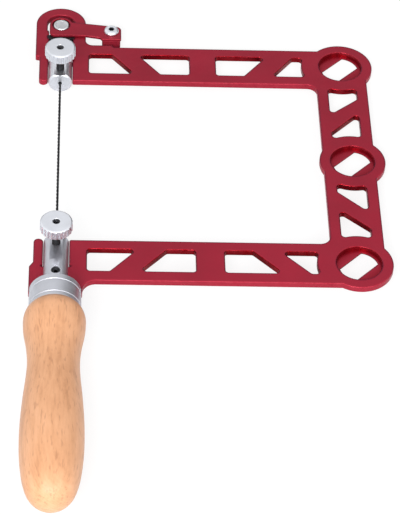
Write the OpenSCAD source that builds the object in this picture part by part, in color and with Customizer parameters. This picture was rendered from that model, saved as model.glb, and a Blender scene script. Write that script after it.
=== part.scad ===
// Fret saw with a flat pierced frame, a cam lever that tightens the blade and a turned handle.
// Every piece is drawn in the saw's own plane: X runs from the blade to the spine, Y along the
// blade away from the handle, Z out of the front face, with the lower arm's top edge at Y zero.
// lay() then tips the saw onto its back, as it rests on a table.

/* [Frame plate] */
// thickness of the flat plate
plate_t = 3.2; // [2.6:0.1:4]
// from the blade to the inner edge of the spine
throat = 130; // [100:1:160]
// between the inner edges of the two arms
jaw = 114.5; // [100:0.5:125]
// width of each arm
arm_w = 26.4; // [24:0.2:30]
// width of the spine
spine_w = 25.5; // [23:0.5:29]
// solid strip along the edges of an arm
arm_strip = 5.7; // [4:0.1:7]
// solid strip along the edges of the spine
spine_strip = 5.6; // [4:0.1:6.5]
// fillet in the two inner corners of the throat
throat_fillet = 5; // [2:0.5:8]
// fillet in the corners of the truss openings
cut_fillet = 1.6; // [0.6:0.1:2]

/* [Spine discs] */
// outer radius of each disc on the spine
disc_r = 16.25; // [14:0.25:18]
// radius of the round recess in each disc
recess_r = 10.9; // [8:0.1:12.5]
// depth of the round recess
recess_d = 2.4; // [0.8:0.1:2.6]
// half width of the slanting slot through each disc
disc_slot_half = 5.2; // [3:0.1:8]
// ledge left between the slot's ends and the recess's wall
disc_ledge = 1.6; // [0.3:0.1:2.4]
// middle of the discs from the inner edge of the spine
disc_in = 13.6; // [11:0.1:16]
// how far the middle disc stands further out than the end discs
disc_step = 1.6; // [0:0.1:3]
// middle of the upper disc above the upper arm's lower edge
top_disc_rise = 14.6; // [12:0.1:17]
// middle of the middle disc above the lower arm
mid_disc_rise = 58.15; // [50:0.5:66]
// middle of the lower disc below the lower arm's top edge
low_disc_drop = 12.6; // [10:0.1:16]
// solid ring left between an arm's opening and a disc
arm_ring = 3.75; // [2:0.25:6]
// solid ring left between a spine opening and a disc
spine_ring = 2; // [1:0.25:4]

/* [Head] */
// outer radius of the arch over the lever
arch_r = 12.75; // [11.5:0.25:14]
// middle of the arch above the upper arm's top edge
arch_rise = 17.7; // [15:0.1:20]
// half width of the window in the arch
window_half = 7; // [6.5:0.1:8]
// top of the window below the top of the arch
window_roof = 5.5; // [4:0.1:6.5]
// fillet in the window's upper corners
window_fillet = 6.4; // [1:0.1:6.4]
// bottom of the window above the upper arm's top edge
window_rise = 12.2; // [11:0.1:14]
// step on the arch's outer side above the upper arm's lower edge
head_step = 18.4; // [12:0.1:22]
// gap between a clamp cylinder and the slot round it, on each side
slot_gap = 0.15; // [0.1:0.05:1]
// width of the thin leg beside each slot
leg_w = 4.55; // [3.6:0.05:5]
// middle of each leg's round end inside the arm's edge
leg_back = 1.7; // [0:0.1:3]
// raised pad on the arm's top edge under the lever
pad_h = 1.5; // [0.8:0.1:2.5]
// end of the raised pad from the blade
pad_end = 26.7; // [22:0.1:32]
// fillet between the arch and the arm
head_fillet = 3.6; // [2:0.1:6]

/* [Foot] */
// half width of the column over the ferrule
foot_half = 12.5; // [11.5:0.1:13]
// depth of the slot for the lower clamp
foot_slot = 17.9; // [15:0.1:20]
// radius of the relief in the slot's corners
relief_r = 0.8; // [0.4:0.1:1]
// bottom edge of the column below the lower arm's top edge
foot_drop = 35.5; // [33:0.1:38]
// fillet between the lower arm and the column
foot_fillet = 6.5; // [4:0.1:8]
// height of the slanting shoulder beside the leg
shoulder_h = 2.9; // [1:0.1:5]

/* [Blade clamps] */
// radius of the two clamp cylinders
clamp_r = 6; // [5:0.05:6.2]
// chamfer round the end of a clamp
clamp_bevel = 0.8; // [0.4:0.1:1.5]
// lower end of the upper clamp below the upper arm's edge
upper_clamp_drop = 0.8; // [0:0.1:2]
// length of the upper clamp's cylinder
upper_clamp_len = 15.3; // [13:0.1:17]
// end of the cylinder to the middle of its thumb screw
screw_in = 5.7; // [4.5:0.1:7]
// flat on the clamps' front from the middle
clamp_flat = 5.2; // [3.5:0.1:5.6]
// length of the flat on the lower clamp's front
post_flat_len = 17; // [10:0.5:20]
// depth of the blade hole in each clamp
blade_hole_d = 10; // [9:0.5:12]
// radius of the blade
blade_r = 0.7; // [0.4:0.05:0.9]
// length of blade held in each clamp
blade_grip = 8; // [6:0.5:8.5]
// length of the blade's spiral for one turn
blade_pitch = 5; // [3:0.5:8]
// radius of the pressure pad on the blade
pad_r = 1.6; // [1.2:0.1:1.8]
// thickness of the pressure pad
pad_t = 1.2; // [0.8:0.1:1.6]

/* [Thumb screws] */
// radius of the screws
screw_r = 2; // [1.9:0.05:2.5]
// underside of a knob above the blade
knob_rise = 14; // [12:0.1:18]
// radius of the knobs
knob_r = 7.7; // [6:0.1:9]
// thickness of the knobs
knob_t = 5.2; // [4:0.1:7]
// bevel on the knob's front edge
knob_bevel = 0.8; // [0.4:0.1:1.2]
// number of grip notches round a knob
knob_notches = 22; // [12:1:30]
// radius of one grip notch
notch_r = 0.6; // [0.3:0.05:0.8]
// depth of the hexagon key hole
hex_d = 2.6; // [1.5:0.1:3.5]
// width across the flats of the key hole
hex_af = 3; // [2.5:0.5:4]

/* [Cam lever] */
// middle of the pivot above the upper arm's top edge
pivot_rise = 15.6; // [15:0.1:16.6]
// thickness of the lever's plate
lever_t = 1.4; // [1:0.1:2]
// radius of the lever round its pivot
lever_eye_r = 5.9; // [5.6:0.1:6.6]
// end of the lever from the pivot
lever_reach = 30.9; // [26:0.1:36]
// fillet in the lever's corners
lever_fillet = 2.8; // [1:0.1:3.4]
// lower edge of the lever below the pivot
lever_low = 8.4; // [7:0.1:9]
// radius of the cam
cam_r = 5.5; // [5.2:0.05:5.6]
// offset of the cam from the pivot
cam_offset = 0.9; // [0.5:0.05:1]
// gap under the cam
cam_gap = 0.35; // [0.3:0.05:0.5]
// thickness of the steel bar that the cam presses on
bar_h = 3; // [2:0.1:4]
// how deep the bar's ends sit in the slot's sides
bar_seat = 0.7; // [0.4:0.1:1]
// radius of the pivot pin's head
pin_head_r = 4; // [3.2:0.1:4.4]
// radius of the pivot pin's shank
pin_r = 2.5; // [2:0.1:3]
// thickness of the pivot pin's head
pin_head_t = 1.1; // [0.7:0.1:1.2]
// gap round the pivot pin's head in its recess
head_gap = 0.4; // [0.1:0.05:0.6]
// width of the block at the lever's end
block_w = 9.4; // [7:0.2:11]
// end of the block inside the lever's end
block_in = 0.4; // [0.3:0.1:1.5]
// height of the block at the lever's end
block_h = 10; // [8:0.2:11]
// back of the block behind the plate's middle
block_back = 3; // [2:0.1:3.6]
// radius of the block screw's head
block_head_r = 3.75; // [3.5:0.05:4]
// height of the block screw's head
block_head_t = 2; // [1.4:0.1:2.6]

/* [Slide] */
// half width of the slide's two plates over the slot
slide_half = 7.3; // [7:0.1:8]
// height of the slide's guide
guide_h = 10; // [8:0.2:10]
// start of the guide above the upper clamp's cylinder
guide_rise = 1; // [0.5:0.1:1.5]
// thickness of the front guide plate
guide_t = 1.2; // [0.8:0.1:2]
// thickness of the rear link plate
link_t = 1.4; // [1:0.1:2]
// half width of the link plate beside the pivot
link_half = 5; // [4.2:0.1:5.4]
// radius of the two small screws through the slide
small_screw_r = 1.25; // [1:0.05:1.5]
// radius of the small screws' heads
small_head_r = 2.2; // [1.8:0.1:2.6]
// height of the small screws' heads
small_head_t = 1.3; // [0.8:0.1:1.6]
// small screws from the middle of the slide
small_screw_x = 3.6; // [3:0.1:4]
// thickness of the ring clip behind the pivot
clip_t = 0.8; // [0.6:0.1:1]
// outer radius of the ring clip
clip_r = 4.4; // [3.8:0.1:4.8]

/* [Handle] */
// radius of the handle's two swells
handle_r = 14.4; // [13:0.1:16]
// end of the handle below the lower arm's top edge
handle_drop = 160.6; // [140:0.2:175]
// radius of the ferrule
ferrule_r = 12.15; // [11.5:0.05:13]
// top of the ferrule below the lower arm's top edge
ferrule_drop = 32.2; // [31:0.1:34]
// length of the ferrule
ferrule_len = 13.8; // [11:0.1:17]
// bevel on the ferrule's top edge
ferrule_bevel = 0.6; // [0.4:0.1:1.5]
// depth of the two grooves round the ferrule
groove_d = 0.35; // [0.2:0.05:0.6]
// width of the two grooves round the ferrule
groove_w = 0.7; // [0.4:0.1:1.2]
// length of the ferrule's tail inside the handle
tail_len = 9; // [6:0.5:12]
// radius of the ferrule's tail
tail_r = 8; // [7:0.1:9]
// length of the clamp's two cheeks below the frame plate
cheek_len = 6; // [4:0.1:7]
// radius of the rod through the handle
rod_r = 3; // [2.5:0.1:3.5]
// length of the rod below the ferrule's tail
rod_len = 31; // [25:1:45]
// radius of the brass insert
insert_r = 5; // [4.5:0.1:6]
// length of the brass insert
insert_len = 15; // [10:0.5:20]
// radius of the set screw that locks the lower clamp
set_screw_r = 2.1; // [1.5:0.1:2.2]
// lock screw below the bottom of the foot's slot
set_screw_drop = 6.5; // [5:0.1:8]

/* [Hidden] */
// running gap round pins, screws and slides
run_gap = 0.05;
// gap between pieces that are fixed to each other
seat_gap = 0.02;
// overrun of every cut
over = 1;
// half of the plate
half_t = plate_t / 2;
// half width of the two slots
slot_half = clamp_r + slot_gap;
// heights along the blade
arm_top = jaw + arm_w;
arch_y = arm_top + arch_rise;
window_y = arm_top + window_rise;
window_top = arch_y + arch_r - window_roof;
pivot_y = arm_top + pivot_rise;
spine_out = throat + spine_w;
// discs, upper, middle and lower
discs = [
    [throat + disc_in - disc_step / 2, jaw + top_disc_rise],
    [throat + disc_in + disc_step / 2, mid_disc_rise],
    [throat + disc_in - disc_step / 2, -low_disc_drop]
];
// bands that the truss openings fill
upper_band = [jaw + arm_strip, arm_top - arm_strip];
lower_band = [-arm_w + arm_strip, -arm_strip];
spine_band = [throat + spine_strip, spine_out - spine_strip];
// corners of the truss openings along an arm, as shares of the throat, then of the band
upper_cut_shares = [
    [[0.112, 0.03], [0.289, 0.03], [0.201, 1], [0.112, 1]],
    [[0.391, 0.03], [0.504, 0.03], [0.504, 1], [0.304, 1]],
    [[0.609, 0.03], [0.718, 0.03], [0.806, 1], [0.609, 1]],
    [[0.826, 0.03], [0.987, 0.03], [0.987, 1], [0.911, 1]]
];
lower_cut_shares = [
    [[0.112, 0.04], [0.194, 0.04], [0.293, 1], [0.112, 1]],
    [[0.3, 0.04], [0.505, 0.04], [0.505, 1], [0.401, 1]],
    [[0.611, 0.04], [0.82, 0.04], [0.713, 1], [0.611, 1]],
    [[0.923, 0.04], [1, 0.04], [1, 1], [0.815, 1]]
];
// corners of the spine's openings, as shares of its band, then of the way between two discs
spine_cut_shares = [
    [[0, 0.483], [1, 0.648], [1, 0.95], [0, 0.95]],
    [[0, 0.295], [0, 0.05], [1, 0.05], [1, 0.503]],
    [[0, 0.686], [1, 0.495], [1, 0.95], [0, 0.95]],
    [[0, 0.511], [0, 0.05], [1, 0.05], [1, 0.33]]
];
// the clamps
upper_end = jaw - upper_clamp_drop;
upper_screw_y = upper_end + screw_in;
cyl_top = upper_end + upper_clamp_len;
guide_y = cyl_top + guide_rise;
guide_mid = guide_y + guide_h / 2;
post_top = 0;
lower_screw_y = post_top - screw_in;
post_low = -foot_drop - cheek_len;
set_screw_y = -foot_slot - set_screw_drop;
set_screw_head = clamp_r - set_screw_r / 2;
blade_top = upper_end + blade_grip;
blade_low = post_top - blade_grip;
blade_hole_r = blade_r + run_gap;
pad_z = blade_r + seat_gap;
screw_tip = pad_z + pad_t + seat_gap;
screw_in_knob = knob_t / 2;
thread_hole_r = screw_r + run_gap;
// the cam, its bar and the lever
cam_y = pivot_y - cam_offset;
bar_top = cam_y - cam_r - cam_gap;
bar_half = slot_half + bar_seat;
front_z = half_t + run_gap;
lever_z = front_z + lever_t;
head_z = lever_z - pin_head_t;
back_z = -half_t - run_gap;
link_z = back_z - link_t;
clip_z = link_z - seat_gap - clip_t;
pin_back = -clip_z + clip_t / 2;
block_end = lever_reach - block_in;
block_x = block_end - block_w / 2;
// screw at the end of the lever below the pivot
lever_mid = 5.3;
block_y = pivot_y - lever_mid;
// the ferrule and the handle
ferrule_low = -ferrule_drop - ferrule_len;
tail_end = ferrule_low - tail_len;
rod_top = post_low - seat_gap;
rod_end = tail_end - rod_len;
// outline of the handle, as shares of its length and of the swell's radius
handle_shares = [
    [0, 0.846], [0.008, 0.885], [0.02, 0.945], [0.045, 0.995], [0.07, 1], [0.12, 0.972],
    [0.2, 0.872], [0.28, 0.828], [0.36, 0.856], [0.46, 0.926], [0.57, 0.982], [0.66, 1],
    [0.75, 0.985], [0.83, 0.93], [0.895, 0.845], [0.945, 0.71], [0.98, 0.49], [0.996, 0.225],
    [1, 0]
];
// how the saw tips when it lies on its back, on the handle, the pivot pin and the upper disc
swell_y = ferrule_low - 0.06 * (handle_drop + ferrule_low);
tip_first = asin((handle_r - pin_back) / (pivot_y - swell_y));
tip = asin((handle_r - pin_back - pin_r * sin(tip_first)) / (pivot_y - swell_y));
spare_drop = handle_r + sin(tip) * swell_y - sin(tip) * discs[0][1] - half_t;
lean_first = asin((spare_drop - disc_r * sin(tip)) / discs[0][0]);
edge_tilt = sqrt(pow(sin(tip), 2) + pow(sin(lean_first), 2));
lean = asin((spare_drop - disc_r * edge_tilt) / discs[0][0]);
rest_z = handle_r + sin(tip) * swell_y;
// middle of the resting saw
mid_x = ((discs[1][0] + disc_r) * cos(lean) - handle_r) / 2;
mid_y = ((arch_y + arch_r) - handle_drop) * cos(tip) / 2;
fine = 96;
coarse = 48;

// Tips the saw from its own plane onto its back, with the middle of its footprint at the origin.
module lay() {
    translate([-mid_x, -mid_y, rest_z])
        rotate([-tip, lean, 0])
            children();
}

// Ways to write a rounded outline: a corner cut where its fillet starts, and the fillet's middle.
function unit_to(a, b) = (b - a) / norm(b - a);
function half_angle(p, a, b) = acos(unit_to(p, a) * unit_to(p, b)) / 2;
function near_side(p, a, b, r) = p + unit_to(p, a) * r / tan(half_angle(p, a, b));
function fillet_mid(p, a, b, r) = p + unit_to([0, 0], unit_to(p, a) + unit_to(p, b))
    * r / sin(half_angle(p, a, b));

// A convex outline with round corners.
module round_shape(points, r) {
    count = len(points);
    polygon([
        for (i = [0 : count - 1])
            each [
                near_side(points[i], points[(i + count - 1) % count], points[(i + 1) % count], r),
                near_side(points[i], points[(i + 1) % count], points[(i + count - 1) % count], r)
            ]
    ]);
    for (i = [0 : count - 1])
        translate(fillet_mid(points[i], points[(i + count - 1) % count],
                points[(i + 1) % count], r))
            circle(r = r, $fn = coarse);
}

// A concave fillet in the corner of two edges, filling toward -X -Y of its middle.
module fill_corner(r) {
    difference() {
        translate([-r, -r])
            square(r);
        circle(r = r, $fn = coarse);
    }
}

// A rod along Z with a bevel at its upper end.
module bevelled_rod(r, low, high, bevel) {
    translate([0, 0, low])
        cylinder(r = r, h = high - low - bevel, $fn = fine);
    translate([0, 0, high - bevel])
        cylinder(r1 = r, r2 = r - bevel, h = bevel, $fn = fine);
}

// A rod along Y between two places.
module y_rod(r, low, high) {
    translate([0, low, 0])
        rotate([-90, 0, 0])
            cylinder(r = r, h = high - low, $fn = fine);
}

// A ring groove cutter round Y.
module y_groove(r, depth, width, at) {
    difference() {
        y_rod(r + over, at - width / 2, at + width / 2);
        y_rod(r - depth, at - width, at + width);
    }
}

module hex_hole(top) {
    translate([0, 0, top - hex_d])
        cylinder(r = hex_af / sqrt(3), h = hex_d + over, $fn = 6);
}

// One opening of a truss, from its corners, kept clear of a disc.
module truss_cut(points, disc, ring) {
    difference() {
        round_shape(points, cut_fillet);
        translate(disc)
            circle(r = disc_r + ring, $fn = fine);
    }
}

module arm_cuts(shares, band, disc) {
    for (cut_shares = shares)
        truss_cut([for (s = cut_shares) [s[0] * throat, band[0] + s[1] * (band[1] - band[0])]],
            disc, arm_ring);
}

module spine_cut(shares, from, to, disc) {
    truss_cut([for (s = shares) [
            spine_band[0] + s[0] * (spine_band[1] - spine_band[0]),
            from[1] + s[1] * (to[1] - from[1])
        ]], disc, spine_ring);
}

// The plate's outer edge.
module plate_outline() {
    // lower arm, spine and upper arm
    translate([slot_half, -arm_w])
        square([discs[2][0] - slot_half, arm_w]);
    translate([throat, discs[2][1]])
        square([spine_w, discs[0][1] - discs[2][1]]);
    translate([slot_half, jaw])
        square([discs[0][0] - slot_half, arm_w]);
    translate([throat - throat_fillet, throat_fillet])
        mirror([1, 0])
            fill_corner(throat_fillet);
    translate([throat - throat_fillet, jaw - throat_fillet])
        mirror([1, 0])
            mirror([0, 1])
                fill_corner(throat_fillet);
    for (d = discs)
        translate(d)
            circle(r = disc_r, $fn = fine);
    // head
    translate([-arch_r, jaw + head_step])
        square([2 * arch_r, arch_y - jaw - head_step]);
    translate([0, arch_y])
        circle(r = arch_r, $fn = fine);
    leg(jaw + leg_back, head_step + over);
    translate([slot_half, arm_top - over])
        square([pad_end - slot_half, pad_h + over]);
    translate([arch_r + head_fillet, arm_top + pad_h + head_fillet])
        fill_corner(head_fillet);
    // foot
    translate([-foot_half, -foot_drop])
        square([2 * foot_half, foot_drop - foot_slot]);
    leg(-leg_back, -foot_slot);
    polygon([
        [-foot_half, -foot_slot - over], [-slot_half, -foot_slot - over],
        [-slot_half, shoulder_h - foot_slot], [-slot_half - leg_w, shoulder_h - foot_slot],
        [-foot_half, -foot_slot]
    ]);
    translate([foot_half + foot_fillet, -arm_w - foot_fillet])
        mirror([0, 1])
            fill_corner(foot_fillet);
}

// The thin leg on the free side of a slot, with a round end at the given height.
module leg(end, run) {
    translate([-slot_half - leg_w / 2, end])
        circle(r = leg_w / 2, $fn = coarse);
    translate([-slot_half - leg_w, min(end, end + run)])
        square([leg_w, abs(run)]);
}

// Slots, window and seats that the moving pieces work in.
module plate_slots() {
    translate([-slot_half, jaw - over])
        square([2 * slot_half, window_y - jaw + 2 * over]);
    translate([-window_half, window_y])
        square([2 * window_half, window_top - window_y - window_fillet]);
    translate([-window_half + window_fillet, window_y])
        square([2 * (window_half - window_fillet), window_top - window_y]);
    for (side = [-1, 1])
        translate([side * (window_half - window_fillet), window_top - window_fillet])
            circle(r = window_fillet, $fn = coarse);
    translate([-bar_half - run_gap, bar_top - bar_h - run_gap])
        square([2 * (bar_half + run_gap), bar_h + 2 * run_gap]);
    translate([-slot_half, -foot_slot])
        square([2 * slot_half, foot_slot + leg_w]);
    for (side = [-1, 1])
        translate([side * slot_half, relief_r - foot_slot])
            circle(r = relief_r, $fn = coarse);
}

module frame() {
    color([0.66, 0.14, 0.18])
        difference() {
            translate([0, 0, -half_t])
                linear_extrude(plate_t)
                    plate_outline();
            translate([0, 0, -half_t - over])
                linear_extrude(plate_t + 2 * over) {
                    plate_slots();
                    arm_cuts(upper_cut_shares, upper_band, discs[0]);
                    arm_cuts(lower_cut_shares, lower_band, discs[2]);
                    spine_cut(spine_cut_shares[0], discs[1], discs[0], discs[0]);
                    spine_cut(spine_cut_shares[1], discs[1], discs[0], discs[1]);
                    spine_cut(spine_cut_shares[2], discs[2], discs[1], discs[1]);
                    spine_cut(spine_cut_shares[3], discs[2], discs[1], discs[2]);
                }
            for (d = discs)
                translate(d) {
                    translate([0, 0, half_t - recess_d])
                        cylinder(r = recess_r, h = recess_d + over, $fn = fine);
                    intersection() {
                        translate([0, 0, -half_t - over])
                            cylinder(r = recess_r - disc_ledge, h = plate_t + over,
                                $fn = fine);
                        rotate([0, 0, 45])
                            translate([-disc_r, -disc_slot_half, -half_t - over])
                                cube([2 * disc_r, 2 * disc_slot_half, plate_t + over]);
                    }
                }
            // hole for the screw that locks the lower clamp
            translate([0, set_screw_y, -half_t - over])
                cylinder(r = set_screw_r + run_gap, h = plate_t + 2 * over, $fn = coarse);
        }
}

module cam_bar() {
    color([0.22, 0.22, 0.24])
        translate([-bar_half, bar_top - bar_h, -half_t])
            cube([2 * bar_half, bar_h, plate_t]);
}

module lower_clamp() {
    color([0.78, 0.79, 0.81])
        difference() {
            translate([0, post_low, 0])
                rotate([-90, 0, 0])
                    bevelled_rod(clamp_r, 0, post_top - post_low, clamp_bevel);
            // slot that straddles the frame plate
            translate([-clamp_r - over, post_low - over, -half_t - seat_gap])
                cube([2 * (clamp_r + over), over - post_low - foot_slot + seat_gap,
                    plate_t + 2 * seat_gap]);
            // flat on the front
            translate([-clamp_r - over, post_top - post_flat_len, clamp_flat])
                cube([2 * (clamp_r + over), post_flat_len + over, clamp_r]);
            // blade hole, thumb screw hole and lock screw hole
            y_rod(blade_hole_r, post_top - blade_hole_d, post_top + over);
            translate([0, lower_screw_y, 0])
                cylinder(r = thread_hole_r, h = clamp_r + over, $fn = fine);
            translate([0, set_screw_y, -clamp_r / 2])
                cylinder(r = set_screw_r + run_gap, h = 2 * clamp_r, $fn = coarse);
        }
}

module clamp_lock_screw() {
    color([0.1, 0.1, 0.11])
        translate([0, set_screw_y, 0])
            difference() {
                translate([0, 0, -clamp_r / 2])
                    cylinder(r = set_screw_r, h = set_screw_head + clamp_r / 2, $fn = coarse);
                translate([0, 0, set_screw_head - set_screw_r])
                    cylinder(r = set_screw_r / 2, h = set_screw_r + over, $fn = 6);
            }
}

module ferrule() {
    color([0.76, 0.77, 0.79])
        difference() {
            union() {
                translate([0, ferrule_low, 0])
                    rotate([-90, 0, 0])
                        bevelled_rod(ferrule_r, 0, ferrule_len, ferrule_bevel);
                y_rod(tail_r, tail_end, ferrule_low + over);
            }
            y_rod(clamp_r + seat_gap, post_low - seat_gap, over);
            translate([-foot_half - over, -foot_drop - seat_gap, -half_t - seat_gap])
                cube([2 * (foot_half + over), foot_drop, plate_t + 2 * seat_gap]);
            y_rod(rod_r, tail_end - over, post_low);
            y_groove(ferrule_r, groove_d, groove_w, -ferrule_drop - 0.275 * ferrule_len);
            y_groove(ferrule_r, groove_d, groove_w, -ferrule_drop - 0.84 * ferrule_len);
        }
}

module handle_rod() {
    color([0.62, 0.63, 0.65])
        y_rod(rod_r, rod_end, rod_top);
}

module handle_insert() {
    color([0.8, 0.62, 0.28])
        difference() {
            y_rod(insert_r, rod_end, rod_end + insert_len);
            y_rod(rod_r, rod_end - over, rod_end + insert_len + over);
        }
}

// Smooth line through the handle's outline.
function smooth(a, b, c, d, t) = 0.5 * (2 * b + t * (c - a)
    + t * t * (2 * a - 5 * b + 4 * c - d) + t * t * t * (3 * b - a - 3 * c + d));

module handle() {
    last = len(handle_shares) - 1;
    len_y = handle_drop + ferrule_low;
    steps = 3;
    color([0.9, 0.68, 0.5])
        difference() {
            translate([0, ferrule_low, 0])
                rotate([90, 0, 0])
                    rotate_extrude($fn = fine)
                        polygon(concat([[0, 0]], [
                            for (i = [0 : last - 1])
                                for (j = [0 : steps - 1])
                                    let (s = smooth(handle_shares[max(i - 1, 0)],
                                        handle_shares[i], handle_shares[i + 1],
                                        handle_shares[min(i + 2, last)], j / steps))
                                        [s[1] * handle_r, s[0] * len_y]
                        ], [[0, len_y]]));
            y_rod(tail_r, tail_end - seat_gap, over);
            y_rod(insert_r, rod_end - seat_gap, over);
        }
}

module spiral_blade() {
    lobe = blade_r / sqrt(2);
    run = blade_top - blade_low - 2 * blade_grip;
    color([0.13, 0.12, 0.13]) {
        y_rod(blade_r, blade_low, post_top + blade_grip / 8);
        y_rod(blade_r, upper_end - blade_grip / 8, blade_top);
        translate([0, post_top, 0])
            rotate([-90, 0, 0])
                linear_extrude(run, twist = -360 * run / blade_pitch,
                    slices = ceil(12 * run / blade_pitch))
                    square(2 * lobe, center = true);
    }
}

module pad(y) {
    color([0.78, 0.6, 0.26])
        translate([0, y, pad_z])
            cylinder(r = pad_r, h = pad_t, $fn = coarse);
}

module lower_pad() {
    pad(lower_screw_y);
}

module upper_pad() {
    pad(upper_screw_y);
}

module thumb_screw(y) {
    color([0.1, 0.1, 0.11])
        translate([0, y, 0])
            difference() {
                bevelled_rod(screw_r, screw_tip, knob_rise + screw_in_knob, knob_bevel / 2);
                hex_hole(knob_rise + screw_in_knob);
            }
}

module lower_screw() {
    thumb_screw(lower_screw_y);
}

module upper_screw() {
    thumb_screw(upper_screw_y);
}

module knob(y) {
    color([0.8, 0.81, 0.83])
        translate([0, y, 0])
            difference() {
                bevelled_rod(knob_r, knob_rise, knob_rise + knob_t, knob_bevel);
                translate([0, 0, knob_rise - over])
                    cylinder(r = screw_r, h = screw_in_knob + over, $fn = fine);
                translate([0, 0, knob_rise])
                    cylinder(r = hex_af / sqrt(3), h = knob_t + over, $fn = coarse);
                for (i = [0 : knob_notches - 1])
                    rotate([0, 0, 360 * i / knob_notches])
                        translate([knob_r, 0, knob_rise - over])
                            cylinder(r = notch_r, h = over + knob_t - 1.3 * knob_bevel,
                                $fn = coarse / 2);
            }
}

module lower_knob() {
    knob(lower_screw_y);
}

module upper_knob() {
    knob(upper_screw_y);
}

// Places and bores of the slide's two small screws.
module slide_holes(r) {
    for (side = [-1, 1])
        translate([side * small_screw_x, guide_mid, link_z - over])
            cylinder(r = r, h = guide_t + plate_t + link_t + 3 * over, $fn = coarse);
}

module upper_clamp() {
    color([0.78, 0.79, 0.81])
        difference() {
            union() {
                translate([0, cyl_top, 0])
                    rotate([90, 0, 0])
                        bevelled_rod(clamp_r, 0, upper_clamp_len, clamp_bevel);
                translate([-slot_half + run_gap, cyl_top - over, -half_t])
                    cube([2 * (slot_half - run_gap), over + guide_rise + guide_h, plate_t]);
            }
            translate([-clamp_r - over, upper_end - over, clamp_flat])
                cube([2 * (clamp_r + over), upper_clamp_len + 2 * over, clamp_r]);
            y_rod(blade_hole_r, upper_end - over, upper_end + blade_hole_d);
            translate([0, upper_screw_y, 0])
                cylinder(r = thread_hole_r, h = clamp_r + over, $fn = fine);
            slide_holes(small_screw_r);
        }
}

module guide_plate() {
    color([0.66, 0.14, 0.18])
        difference() {
            translate([-slide_half, guide_y, front_z])
                cube([2 * slide_half, guide_h, guide_t]);
            slide_holes(small_screw_r);
        }
}

module link_plate() {
    color([0.7, 0.71, 0.73])
        difference() {
            translate([0, 0, link_z])
                linear_extrude(link_t) {
                    translate([-slide_half, guide_y])
                        square([2 * slide_half, guide_h]);
                    translate([-link_half, guide_y])
                        square([2 * link_half, pivot_y - guide_y]);
                    translate([0, pivot_y])
                        circle(r = link_half, $fn = fine);
                }
            slide_holes(small_screw_r);
            translate([0, pivot_y, link_z - over])
                cylinder(r = pin_r, h = link_t + 2 * over, $fn = fine);
        }
}

module slide_screws() {
    color([0.1, 0.1, 0.11])
        for (side = [-1, 1])
            translate([side * small_screw_x, guide_mid, 0]) {
                translate([0, 0, link_z])
                    cylinder(r = small_screw_r, h = front_z + guide_t - link_z, $fn = coarse);
                translate([0, 0, front_z + guide_t])
                    difference() {
                        cylinder(r = small_head_r, h = small_head_t, $fn = coarse);
                        translate([0, 0, small_head_t / 2])
                            cylinder(r = small_screw_r * 0.7, h = over, $fn = 6);
                    }
            }
}

module pivot_pin() {
    color([0.82, 0.83, 0.85])
        translate([0, pivot_y, 0])
            difference() {
                union() {
                    translate([0, 0, -pin_back])
                        cylinder(r = pin_r, h = pin_back + head_z, $fn = fine);
                    bevelled_rod(pin_head_r, head_z, lever_z, pin_head_t / 3);
                }
                // groove for the clip
                translate([0, 0, clip_z])
                    difference() {
                        cylinder(r = pin_r + over, h = clip_t, $fn = fine);
                        cylinder(r = 0.8 * pin_r, h = clip_t, $fn = fine);
                    }
            }
}

module pivot_clip() {
    color([0.3, 0.3, 0.32])
        translate([0, pivot_y, clip_z])
            difference() {
                cylinder(r = clip_r, h = clip_t, $fn = fine);
                translate([0, 0, -over])
                    cylinder(r = 0.8 * pin_r, h = clip_t + 2 * over, $fn = fine);
                translate([-0.65 * pin_r, 0, -over])
                    cube([1.3 * pin_r, clip_r + over, clip_t + 2 * over]);
            }
}

// Outline of the lever, from its eye to the end over the block.
module lever_outline() {
    circle(r = lever_eye_r, $fn = fine);
    translate([-lever_eye_r, -lever_low + lever_fillet])
        square([lever_eye_r, lever_low - lever_fillet]);
    translate([-lever_eye_r + lever_fillet, -lever_low])
        square([lever_eye_r, lever_fillet]);
    translate([-lever_eye_r + lever_fillet, -lever_low + lever_fillet])
        circle(r = lever_fillet, $fn = coarse);
    polygon([
        [0, lever_eye_r * 0.48], [lever_reach - lever_fillet, -lever_eye_r * 0.2],
        [lever_reach, -lever_eye_r * 0.2 - lever_fillet], [lever_reach, -lever_low * 1.25],
        [block_end, -lever_low * 1.33], [block_end - block_w, -lever_low * 1.33],
        [lever_reach * 0.65, -lever_low * 1.17], [lever_reach * 0.4, -lever_low], [0, -lever_low]
    ]);
    translate([lever_reach - lever_fillet, -lever_eye_r * 0.2 - lever_fillet])
        circle(r = lever_fillet, $fn = coarse);
}

module cam_lever() {
    color([0.64, 0.13, 0.17])
        translate([0, pivot_y, 0])
            difference() {
                union() {
                    translate([0, 0, front_z])
                        linear_extrude(lever_t)
                            lever_outline();
                    translate([0, -cam_offset, -half_t])
                        cylinder(r = cam_r, h = front_z + half_t + lever_t / 2, $fn = fine);
                }
                translate([0, 0, -half_t - over])
                    cylinder(r = pin_r + run_gap, h = plate_t + lever_t + 2 * over, $fn = fine);
                translate([0, 0, head_z - seat_gap])
                    cylinder(r = pin_head_r + head_gap, h = lever_t + over, $fn = fine);
                translate([block_x, -lever_mid, 0])
                    cylinder(r = screw_r + run_gap, h = lever_z + over, $fn = fine);
            }
}

module lever_block() {
    color([0.6, 0.12, 0.16])
        difference() {
            translate([block_end - block_w, block_y - 0.59 * block_h, -block_back])
                cube([block_w, block_h, block_back + front_z]);
            translate([block_x, block_y, -block_back + over])
                cylinder(r = screw_r, h = block_back + lever_z, $fn = fine);
        }
}

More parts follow.
